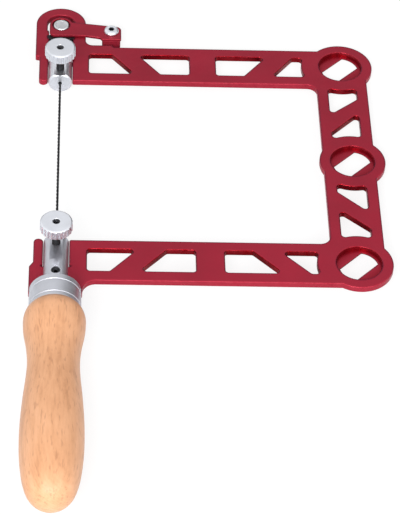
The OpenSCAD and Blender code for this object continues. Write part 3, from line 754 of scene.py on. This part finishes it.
def slot_loop(x, y):
    """The outline of the slanting slot through a disc, with slightly rounded corners."""
    r = RECESS_R - DISC_SLOT_RIM
    half = math.asin(DISC_SLOT / r)
    loop = []
    for side in (0, math.pi):
        mid = side + math.pi / 4
        angles = [mid + half * (k / 24 - 1) for k in range(49)]
        loop += [(x + r * math.cos(a), y + r * math.sin(a)) for a in angles]
    return soften(loop, OUTER_CORNER)


def recess(shell, x, y):
    """A disc's round recess and the slot through its floor. Gives the back and the front ring."""
    floor_z = HALF_T - RECESS_D
    ring = circle(x, y, RECESS_R, ROUND)[::-1]
    # the recess wall takes painted shade, which fades across the floor from its ring
    floor_ring, front = wall(shell, ring, floor_z, HALF_T, 0, RECESS_EDGE, hole_shade=RECESS_SHADE)
    back, floor_slot = wall(shell, slot_loop(x, y)[::-1], -HALF_T, floor_z, DISC_SLOT_BACK,
                            DISC_SLOT_FRONT, 0.1)
    shell.fill([floor_ring, floor_slot])
    return back, front


def dress_frame():
    shell = Shell()
    through = frame_outline() + [hole[::-1] for hole in truss_holes()]
    through.append(circle(0, SET_SCREW_Y, SET_HOLE_R, 32)[::-1])
    ends = [wall(shell, loop, -HALF_T, HALF_T, BACK_EDGE, FRONT_EDGE) for loop in through]
    ends += [recess(shell, x, y) for x, y in DISCS]
    shell.fill([back for back, _ in ends], up=False)
    shell.fill([front for _, front in ends])
    put("frame_plate", shell, "body", RED, "frame")


# handle and ferrule
# the handle's profile: share of its length from the ferrule down, share of its largest radius
HANDLE_SHARES = [(0, 0.846), (0.008, 0.885), (0.02, 0.945), (0.045, 0.995), (0.07, 1),
                 (0.12, 0.972), (0.2, 0.872), (0.28, 0.828), (0.36, 0.856), (0.46, 0.926),
                 (0.57, 0.982), (0.66, 1), (0.75, 0.985), (0.83, 0.93), (0.895, 0.845),
                 (0.945, 0.71), (0.98, 0.49), (0.996, 0.225), (1, 0)]
BORE_R, BORE_DEPTH = 8.02, 9.02
FERRULE_LOW = FERRULE_TOP - FERRULE_LEN
FERRULE_EDGE, BOTTOM_RING = 0.6, 7.9
# two grooves, placed by their share of the ferrule's length from the top
GROOVES = (0.84, 0.275)
GROOVE_HALF, GROOVE_FLOOR, GROOVE_DEPTH = 0.4, 0.3, 0.25


def smooth_curve(rows, steps):
    """A Catmull-Rom line through the rows."""
    last = len(rows) - 1
    out = []
    for i in range(last):
        a, b, c, d = (Vector(rows[max(0, min(last, i + k))]) for k in (-1, 0, 1, 2))
        for s in range(steps):
            t = s / steps
            out.append(0.5 * (2 * b + t * (c - a) + t * t * (2 * a - 5 * b + 4 * c - d)
                              + t ** 3 * (3 * b - a - 3 * c + d)))
    out.append(Vector(rows[-1]))
    return out


def dress_handle():
    length = HANDLE_END - FERRULE_LOW
    curve = smooth_curve(HANDLE_SHARES, 5)
    profile = [(BORE_R, FERRULE_LOW - BORE_DEPTH), (BORE_R, FERRULE_LOW)]
    profile += [(max(p[1], 0) * HANDLE_R, FERRULE_LOW + p[0] * length) for p in curve]
    shell = lathe(profile, axis="Y", segments=128)
    put("wood_handle", shell, "body", WOOD, "handle")


def dress_ferrule():
    top, low = FERRULE_TOP, FERRULE_LOW
    floor_r = FERRULE_R - GROOVE_DEPTH
    rows = [(0, low), (BOTTOM_RING, low), (FERRULE_R, low)]
    for share in GROOVES:
        mid = top - share * FERRULE_LEN
        rows += [(FERRULE_R, mid - GROOVE_HALF), (floor_r, mid - GROOVE_FLOOR),
                 (floor_r, mid + GROOVE_FLOOR), (FERRULE_R, mid + GROOVE_HALF)]
    rows += [(FERRULE_R, top - FERRULE_EDGE), (FERRULE_R - FERRULE_EDGE, top), (0, top)]
    shell = lathe(soft_line(rows, 0.18), axis="Y", segments=144)
    cutters = [rod_tool(CLAMP_R + FIT, POST_LOW, 1, axis="Y"),
               box_tool(-14, -FOOT_DROP - FIT, -HALF_T - FIT, 14, 1, HALF_T + FIT)]
    mesh = carve(mesh_of(shell, "ferrule_ring"), cutters)
    put("ferrule_ring", mesh, "body", BRUSHED, "ferrule")


# the spiral blade
# how far it goes into a clamp, and how much of its round end shows
HELD, SHOWN = 8.0, 0.6
TWIST_PITCH, TOOTH_PITCH, TOOTH_DEPTH = 5.0, 1.25, 0.13
BLADE_R, BLADE_OVAL, HELD_R = 0.57, 0.14, 0.66
BLADE_ROWS, BLADE_SIDES = 760, 12


def dress_blade():
    shell = Shell()
    low, high = -HELD, UPPER_END + HELD
    rings = []
    for k in range(BLADE_ROWS + 1):
        y = low + (high - low) * k / BLADE_ROWS
        held = y < SHOWN or y > UPPER_END - SHOWN
        twist = 2 * math.pi * y / TWIST_PITCH
        tooth = TOOTH_DEPTH * (0.5 + 0.5 * math.cos(2 * math.pi * y / TOOTH_PITCH)) ** 2
        ring = []
        for i in range(BLADE_SIDES):
            a = 2 * math.pi * i / BLADE_SIDES
            r = HELD_R
            if not held:
                r = BLADE_R + BLADE_OVAL * math.cos(2 * a) - tooth * max(0, math.cos(2 * a)) ** 2
            edge = not held and abs(math.cos(a)) > 0.9
            ring.append(shell.point((r * math.cos(a + twist), y, r * math.sin(a + twist)),
                                    0.6 * edge))
        rings.append(ring)
    for a, b in zip(rings, rings[1:]):
        shell.bridge(a, b)
    shell.faces += [rings[0], rings[-1][::-1]]
    put("saw_blade", mesh_of(shell, "saw_blade", 60), "body", BLACK,
        "spiral_blade")


# thumb screws and clamps
SCREW_TIP = 1.94
THREAD_PITCH, THREAD_DEPTH = 0.7, 0.2
# the knob's lower edge, and the height and width of its upper one
KNOB_EDGE, KNOB_CROWN, KNOB_FACE_EDGE = 0.5, 0.85, 0.75
KEY_CHAMFER, KEY_DEPTH = 0.15, 2.4
NOTCH_REACH = NOTCH_R * 1.15
BLADE_HOLE_R, BLADE_HOLE_CHAMFER, BLADE_HOLE_DEPTH = 0.75, 0.3, 10
CLAMP_EDGE, BARREL_TOP_EDGE = 0.8, 0.3
SET_HEAD = CLAMP_R - 1.05
TONGUE_LEN = 11
# cutters go past the clamps, this far to the side and to the front
SIDE, FRONT = 7, 8


def hex_socket(y, top, depth, x=0, r=HEX_R):
    return mesh_of(lathe(cylinder(r, top - depth, top + 1), (x, y), 6), "hex_tool")


def shade_key_hole(mesh, x, y, r, low):
    """Marks the points of a hole below a height for painted shade."""
    for point, mark in zip(mesh.vertices, mesh.attributes["deep"].data):
        spot = LAY.inverted() @ (point.co / MM)
        if math.dist(spot.xy, (x, y)) < r and spot.z < low:
            mark.value = 1.0


def dress_thumb_screw(name, y, body):
    """A black screw, threaded below the knob, with a key hole in its top."""
    tip, top = SCREW_TIP, KNOB_LOW + KNOB_T / 2
    rows = [(0, tip), (SCREW_R - 0.5, tip), (SCREW_R - 0.25, tip + 0.3)]
    count = int((KNOB_LOW - tip) / THREAD_PITCH * 8)
    rows += [(SCREW_R, tip + 0.5 + (KNOB_LOW - tip - 0.5) * k / count) for k in range(count)]
    rows += [(SCREW_R, KNOB_LOW), (SCREW_R, top - 0.4), (SCREW_R - 0.4, top), (0, top)]

    def thread(r, a, h):
        if r < SCREW_R or h > KNOB_LOW - 0.3:
            return r
        phase = (h / THREAD_PITCH - a / (2 * math.pi)) % 1.0
        return r - THREAD_DEPTH * (1 - abs(2 * phase - 1)) ** 0.8

    shell = lathe(rows, (0, y), 48, thread)
    mesh = carve(mesh_of(shell, name + "_screw_body", 50), [hex_socket(y, top, 2.6)], 50)
    put(name + "_screw_body", mesh, body, BLACK, name + "_screw")


def knob_profile():
    low, high = KNOB_LOW, KNOB_LOW + KNOB_T
    rows = [(SCREW_R, low + 0.1), (SCREW_R + KEY_CHAMFER, low),
            (KNOB_R - KNOB_EDGE, low), (KNOB_R, low + KNOB_EDGE),
            (KNOB_R, high - KNOB_CROWN), (KNOB_R - 0.2, high - 0.35),
            (KNOB_R - KNOB_FACE_EDGE, high), (HEX_R + KEY_CHAMFER, high),
            (HEX_R, high - KEY_CHAMFER), (HEX_R, high - KEY_DEPTH)]
    rows = soft_line(rows, 0.25)
    dense = [rows[0]]
    for a, b in zip(rows, rows[1:]):
        parts = max(1, round(math.dist(a, b) / 0.7))
        dense += [(a[0] + (b[0] - a[0]) * k / parts, a[1] + (b[1] - a[1]) * k / parts)
                  for k in range(1, parts + 1)]
    return dense


def dress_knob(name, y, body):
    """A notched aluminium knob that is pressed on its screw."""
    profile = knob_profile()
    period = 2 * math.pi / NOTCHES
    notch_top = KNOB_LOW + KNOB_T - 0.8

    def notch(r, a, h):
        off = ((a + period / 2) % period - period / 2) * KNOB_R
        if abs(off) < NOTCH_REACH and h < notch_top:
            cut = KNOB_R - math.sqrt(max(NOTCH_REACH ** 2 - off * off, 0)) * 0.95
            return min(r, cut)
        return r

    wear = [1.0 if r > KNOB_R - 0.9 else 0.0 for r, _ in profile]
    shell = lathe(profile, (0, y), NOTCHES * 16, notch, wear)
    put(name + "_grip", mesh_of(shell, name + "_grip", 44), body, TURNED,
        name + "_knob")


def clamp_end(y, way):
    """A clamp's profile from its hole for the blade to the edge of its end."""
    r, chamfer, inner = BLADE_HOLE_R, BLADE_HOLE_CHAMFER, y + way * BLADE_HOLE_DEPTH
    return [(0, inner), (r, inner), (r, y + way * chamfer), (r + chamfer, y),
            (CLAMP_R - CLAMP_EDGE, y), (CLAMP_R, y + way * CLAMP_EDGE)]


def dress_lower_clamp():
    rows = [*clamp_end(0, -1), (CLAMP_R, POST_LOW), (0, POST_LOW)]
    shell = lathe(soft_line(rows, FINE), axis="Y")
    cutters = [box_tool(-SIDE, POST_LOW - 1, -HALF_T - FIT, SIDE, -FOOT_SLOT - FIT, HALF_T + FIT),
               box_tool(-SIDE, -POST_FLAT_LEN, CLAMP_FLAT, SIDE, 1, FRONT),
               rod_tool(SCREW_R + 0.05, 0, FRONT, y=LOWER_SCREW_Y),
               rod_tool(SET_HOLE_R, -CLAMP_R / 2, FRONT, y=SET_SCREW_Y)]
    mesh = carve(mesh_of(shell, "lower_post"), cutters)
    put("lower_post", mesh, "body", BRUSHED, "lower_clamp")


def dress_lock_screw():
    rows = cylinder(SET_HOLE_R - 0.05, -CLAMP_R / 2, SET_HEAD)
    shell = lathe(soft_line(rows, 0.2), (0, SET_SCREW_Y), 48)
    socket = hex_socket(SET_SCREW_Y, SET_HEAD, 1.9, 0, 1.05)
    mesh = carve(mesh_of(shell, "lock_screw"), [socket])
    put("lock_screw", mesh, "body", BLACK, "clamp_lock_screw")


def dress_barrel():
    """The upper clamp: a round barrel with a flat tongue that slides in the frame's slot."""
    low, high = UPPER_END, CYL_TOP
    rows = [*clamp_end(low, 1), (CLAMP_R, high - BARREL_TOP_EDGE),
            (CLAMP_R - BARREL_TOP_EDGE, high), (0, high)]
    shell = lathe(soft_line(rows, FINE), axis="Y")
    barrel = carve(mesh_of(shell, "upper_barrel"),
                   [box_tool(-SIDE, low - 1, CLAMP_FLAT, SIDE, high + 1, FRONT),
                    rod_tool(SCREW_R + 0.05, 0, FRONT, y=UPPER_SCREW_Y)])
    half = SLOT - 0.05
    tongue = soften(rect(-half, high - 0.6, half, high + TONGUE_LEN), 0.6)
    shell = plate([tongue], -HALF_T, HALF_T, FINE, FINE, 0.1)
    put("upper_barrel", joined(barrel, mesh_of(shell, "tongue")), "slide", TURNED,
        "upper_clamp")


# the slide's cover and link, and the pivot
GUIDE_HALF, GUIDE_LOW, GUIDE_LEN, GUIDE_T = 7.3, CYL_TOP + 1, 10, 1.2
GUIDE_MID = CYL_TOP + 6
LINK_HALF, LINK_T = 5, 1.4
FIXING_X, HEAD_R, HEAD_T, HEAD_KEY_R = 3.6, 2.2, 1.3, 0.85
PIVOT_R, COLLAR_R, COLLAR_T = 2.5, 4, 1.1
STUD_BACK = -4.69
CLIP_BACK, CLIP_T, CLIP_R, CLIP_GROOVE_R = -3.87, 0.8, 4.4, 2.0


def guide_rect():
    return rect(-GUIDE_HALF, GUIDE_LOW, GUIDE_HALF, GUIDE_LOW + GUIDE_LEN)


def dress_guide():
    loop = soften(guide_rect(), OUTER_CORNER)
    shell = plate([loop], FRONT_Z, FRONT_Z + GUIDE_T, 0.2, 0.25, FINE)
    put("guide_cover", shell, "slide", RED, "guide_plate")


def dress_link():
    outline = region([guide_rect(), rect(-LINK_HALF, GUIDE_LOW, LINK_HALF, PIVOT_Y),
                      circle(0, PIVOT_Y, LINK_HALF)])
    loops = [soften(loop, OUTER_CORNER) for loop in outline]
    loops.append(circle(0, PIVOT_Y, PIVOT_R, 64)[::-1])
    shell = plate(loops, -FRONT_Z - LINK_T, -FRONT_Z, 0.2, 0.2, FINE)
    put("rear_link", shell, "slide", ALUMINIUM, "link_plate")


def dress_fixings():
    """The two screws through cover, tongue and link, with low round heads."""
    shell = Shell()
    back, low = -FRONT_Z - LINK_T, FRONT_Z + GUIDE_T
    top, r, key_r = low + HEAD_T, HEAD_R, HEAD_KEY_R
    rows = [(0, back), (1.2, back), (1.25, low), (r, low), (r, top - 0.3), (r - 0.3, top),
            (key_r + 0.1, top), (key_r, top - 0.1), (key_r, low + 0.6), (0, low + 0.6)]
    for side in (-1, 1):
        lathe(soft_line(rows, FINE), (side * FIXING_X, GUIDE_MID), 36, shell=shell)
    put("slide_fixings", shell, "slide", BLACK, "slide_screws")


def dress_stud():
    clip_front, face = CLIP_BACK + CLIP_T, LEVER_Z - 0.16
    rows = [(0, STUD_BACK), (2.2, STUD_BACK), (PIVOT_R, STUD_BACK + 0.3), (PIVOT_R, CLIP_BACK),
            (CLIP_GROOVE_R, CLIP_BACK), (CLIP_GROOVE_R, clip_front), (PIVOT_R, clip_front),
            (PIVOT_R, LEVER_Z - COLLAR_T), (COLLAR_R, LEVER_Z - COLLAR_T),
            (COLLAR_R, LEVER_Z - 0.4), (3.62, LEVER_Z), (2.9, LEVER_Z), (2.75, face), (0, face)]
    shell = lathe(soft_line(rows, 0.08), (0, PIVOT_Y), 72)
    put("pivot_stud", mesh_of(shell, "pivot_stud", 30), "slide", STEEL, "pivot_pin")


def dress_clip():
    ring = region([circle(0, PIVOT_Y, CLIP_R, 72)],
                  [circle(0, PIVOT_Y, CLIP_GROOVE_R, 48), rect(-1.6, PIVOT_Y, 1.6, PIVOT_Y + 6)])
    loops = [soften(loop, 0.5) for loop in ring]
    shell = plate(loops, CLIP_BACK, CLIP_BACK + CLIP_T, 0.1, 0.1, 0.1)
    put("ring_clip", shell, "slide", STEEL, "pivot_clip")


def dress_cam_key():
    half = SLOT + 0.7
    loop = soften(rect(-half, BAR_TOP - 3, half, BAR_TOP), 0.4)
    shell = plate([loop], -HALF_T, HALF_T, FINE, FINE, FINE)
    put("cam_key", shell, "body", BLACK, "cam_bar")


# the lever: its round eye, how far down and to the side it goes, and the hole for the collar
LEVER_EYE, LEVER_LOW, LEVER_REACH = 5.9, 8.4, 30.9
LEVER_FILLET, LEVER_HOLE_R = 2.8, 4.4
# the block behind its end, measured from the stud that holds it
BLOCK_END, BLOCK_W, BLOCK_Y = LEVER_REACH - 0.4, 9.4, PIVOT_Y - 5.3
BLOCK_LOW, BLOCK_HIGH, BLOCK_BACK = 5.9, 4.1, 3
LEVER_STUD_X, LEVER_STUD_R = BLOCK_END - 4.7, 1.98
LEVER_STUD_TOP, LEVER_STUD_HEAD = LEVER_Z + 2, 3.75


def lever_outline():
    reach, low = LEVER_REACH, LEVER_LOW
    arm = [(0, -low), (reach * 0.4, -low), (reach * 0.65, -low * 1.17),
           (BLOCK_END - BLOCK_W, -low * 1.33), (BLOCK_END, -low * 1.33), (reach, -low * 1.25),
           (reach, -1.18), (0, 2.83)]
    arm = [(x, y + PIVOT_Y) for x, y in arm]
    eye = [circle(0, PIVOT_Y, LEVER_EYE, 96), rect(-LEVER_EYE, PIVOT_Y - low, 0, PIVOT_Y)]

    def corner(p, turn):
        at_end = p[0] > 25 and p[1] > PIVOT_Y - 4
        return LEVER_FILLET if at_end or p[0] < -4 else OUTER_CORNER

    return [soften(loop, corner) for loop in region([*eye, arm])]


def cam_mesh():
    rows = cylinder(CAM_R, -HALF_T, FRONT_Z + 0.2)
    shell = lathe(soft_line(rows, 0.1), (0, PIVOT_Y - CAM_OFF))
    return carve(mesh_of(shell, "cam"), [rod_tool(PIVOT_R + 0.05, -3, 6, y=PIVOT_Y)])


def dress_lever_plate():
    loops = lever_outline()
    loops += [circle(0, PIVOT_Y, LEVER_HOLE_R, 96)[::-1],
              circle(LEVER_STUD_X, BLOCK_Y, LEVER_STUD_R + 0.07, 48)[::-1]]
    shell = plate(loops, FRONT_Z, LEVER_Z, FINE, 0.3, FINE)
    mesh = joined(mesh_of(shell, "lever_plate"), cam_mesh())
    put("lever_plate", mesh, "lever", RED, "cam_lever")


def dress_end_block():
    loop = rect(BLOCK_END - BLOCK_W, BLOCK_Y - BLOCK_LOW, BLOCK_END, BLOCK_Y + BLOCK_HIGH)
    shell = plate([soften(loop, OUTER_CORNER)], -BLOCK_BACK, FRONT_Z, 0.3, 0.1, 0.2)
    hole = rod_tool(LEVER_STUD_R + 0.04, -2, 6, LEVER_STUD_X, BLOCK_Y)
    mesh = carve(mesh_of(shell, "end_block"), [hole])
    put("end_block", mesh, "lever", RED, "lever_block")


def dress_lever_stud():
    top, head = LEVER_STUD_TOP, LEVER_STUD_HEAD
    rows = [(0, -2), (LEVER_STUD_R, -2), (LEVER_STUD_R, LEVER_Z), (head, LEVER_Z),
            (head, LEVER_Z + 0.9), (head - 0.3, LEVER_Z + 1.5), (2.8, top), (0, top)]
    shell = lathe(soft_line(rows, 0.3), (LEVER_STUD_X, BLOCK_Y), 72)
    socket = hex_socket(BLOCK_Y, top, 2.0, LEVER_STUD_X, 1.6)
    mesh = carve(mesh_of(shell, "lever_stud"), [socket])
    # painted shade inside the stud's key hole
    shade_key_hole(mesh, LEVER_STUD_X, BLOCK_Y, 1.65, top - 0.5)
    put("lever_stud", mesh, "lever", ALUMINIUM, "lever_screw")


# floor, light and camera
# what reflections see: greys along a direction, dark low down at the back
STUDIO = [(0.1, 0.03), (0.27, 0.1), (0.43, 0.95), (0.6, 1.0), (0.85, 0.9)]
STUDIO_WAY, STUDIO_MIDDLE, STUDIO_POWER = (-0.16, -0.35, 0.35), 0.5, 1.3
EVEN_COLOUR, EVEN_POWER = (0.96, 0.98, 1, 1), 0.5
# the floor's greys by Y in metres for all rays but the camera's, and its grey and glow for those
FLOOR = [(0.17, 0.92), (0.32, 0.15)]
FLOOR_HALF, FLOOR_Z = 3.0, -0.0001
FLOOR_GREY, FLOOR_GLOW = 0.16, 0.85
# each lamp's name, place and size in metres, and power in watts. All shine at the origin.
LAMPS = [("key", (-0.36, -1.2, 1.02), (0.8, 0.7), 27),
         ("fill", (0.75, -0.9, 0.9), (0.5, 0.5), 5)]
# the camera in the saw's frame: angles in radians, mm, and focal length in pixels of the photo
AZIMUTH, ELEVATION, ROLL = 0.0708479, 0.7840413, 0.0651508
CAMERA_WAY, FOCAL_PIXELS = 1157.553, 2462.617
CAMERA_AIM = Vector((67.59694, -10.64176, 1.6))
SENSOR, PHOTO_SIDE = 36, 515


def grey_ramp(n, coordinate, way, offset, stops):
    """A cool grey ramp along a direction of a coordinate."""
    dot = n.add("VectorMath", {0: coordinate, 1: way}, operation="DOT_PRODUCT")
    along = n.math("ADD", dot.outputs["Value"], offset)
    return n.ramp(along, *((at, (grey * 0.97, grey * 0.985, grey)) for at, grey in stops))


def make_world():
    """White for the camera, a studio for reflections and an even light for the rest."""
    world = bpy.data.worlds.new("studio")
    bpy.context.scene.world = world
    n = Nodes(world)
    path = n.add("LightPath").outputs
    seen = n.math("MAXIMUM", path["Is Camera Ray"], path["Is Transmission Ray"])
    direction = n.add("TexCoord").outputs["Generated"]
    greys = grey_ramp(n, direction, STUDIO_WAY, STUDIO_MIDDLE, STUDIO)
    studio = n.add("Background", {0: greys, 1: STUDIO_POWER}).outputs[0]
    even = n.add("Background", {0: EVEN_COLOUR, 1: EVEN_POWER}).outputs[0]
    white = n.add("Background", {0: (1, 1, 1, 1)}).outputs[0]
    light = n.blend(path["Is Glossy Ray"], even, studio)
    n.add("OutputWorld", {0: n.blend(seen, light, white)})


def floor_material():
    """Nearly white for the camera, a grey ramp toward the back for all other rays."""
    material = bpy.data.materials.new("pale_floor")
    n = Nodes(material)
    place = n.add("TexCoord").outputs["Object"]
    matt = n.add("BsdfDiffuse", {0: grey_ramp(n, place, (0, 1, 0), 0, FLOOR)}).outputs[0]
    pale = n.add("BsdfDiffuse", {0: (FLOOR_GREY, FLOOR_GREY, FLOOR_GREY, 1)}).outputs[0]
    glow = n.add("Emission", {1: FLOOR_GLOW}).outputs[0]
    both = n.add("AddShader", {0: pale, 1: glow}).outputs[0]
    seen = n.add("LightPath").outputs["Is Camera Ray"]
    n.add("OutputMaterial", {0: n.blend(seen, matt, both)})
    return material


def make_floor():
    mesh = bpy.data.meshes.new("floor")
    corners = rect(-FLOOR_HALF, -FLOOR_HALF, FLOOR_HALF, FLOOR_HALF)
    mesh.from_pydata([(x, y, FLOOR_Z) for x, y in corners], [], [(0, 1, 2, 3)])
    mesh.materials.append(floor_material())
    floor = in_scene("floor", mesh)


def make_lamp(name, at, size, power):
    data = bpy.data.lights.new(name, "AREA")
    data.shape = "RECTANGLE"
    data.size, data.size_y = size
    data.energy = power
    lamp = in_scene(name, data)
    lamp.location = at
    lamp.rotation_euler = (-Vector(at)).to_track_quat("-Z", "Y").to_euler()


def make_camera():
    """The camera that sees the saw as the photo does."""
    flat = math.cos(ELEVATION)
    fwd = Vector((math.sin(AZIMUTH) * flat, math.cos(AZIMUTH) * flat, -math.sin(ELEVATION)))
    right = Vector((math.cos(AZIMUTH), -math.sin(AZIMUTH), 0))
    up = right.cross(fwd)
    across = right * math.cos(ROLL) + up * math.sin(ROLL)
    above = up * math.cos(ROLL) - right * math.sin(ROLL)
    turn = Matrix((across, above, -fwd)).transposed().to_4x4()
    place = LAY @ Matrix.Translation(CAMERA_AIM - fwd * CAMERA_WAY) @ turn
    place.translation *= MM
    data = bpy.data.cameras.new("camera")
    data.sensor_width = SENSOR
    data.lens = SENSOR * FOCAL_PIXELS / PHOTO_SIDE
    data.clip_start = 0.05
    data.clip_end = 20
    camera = in_scene("camera", data)
    camera.matrix_world = place
    bpy.context.scene.camera = camera


dress_frame()
dress_handle()
dress_ferrule()
dress_blade()
for which, screw_y in (("upper", UPPER_SCREW_Y), ("lower", LOWER_SCREW_Y)):
    dress_thumb_screw(which, screw_y, which + "_thumb")
    dress_knob(which, screw_y, which + "_thumb")
dress_lower_clamp()
dress_lock_screw()
dress_barrel()
dress_guide()
dress_link()
dress_fixings()
dress_stud()
dress_clip()
dress_cam_key()
dress_lever_plate()
dress_end_block()
dress_lever_stud()

# the pieces that nobody sees keep their CAD meshes
for node_name, material in (("handle_rod", STEEL), ("handle_insert", BRASS),
                            ("upper_pad", BRASS), ("lower_pad", BRASS)):
    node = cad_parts[node_name]
    node.data.materials.clear()
    node.data.materials.append(material)

make_world()
make_floor()
make_camera()
for lamp_values in LAMPS:
    make_lamp(*lamp_values)
bpy.context.scene.view_settings.view_transform = "Standard"
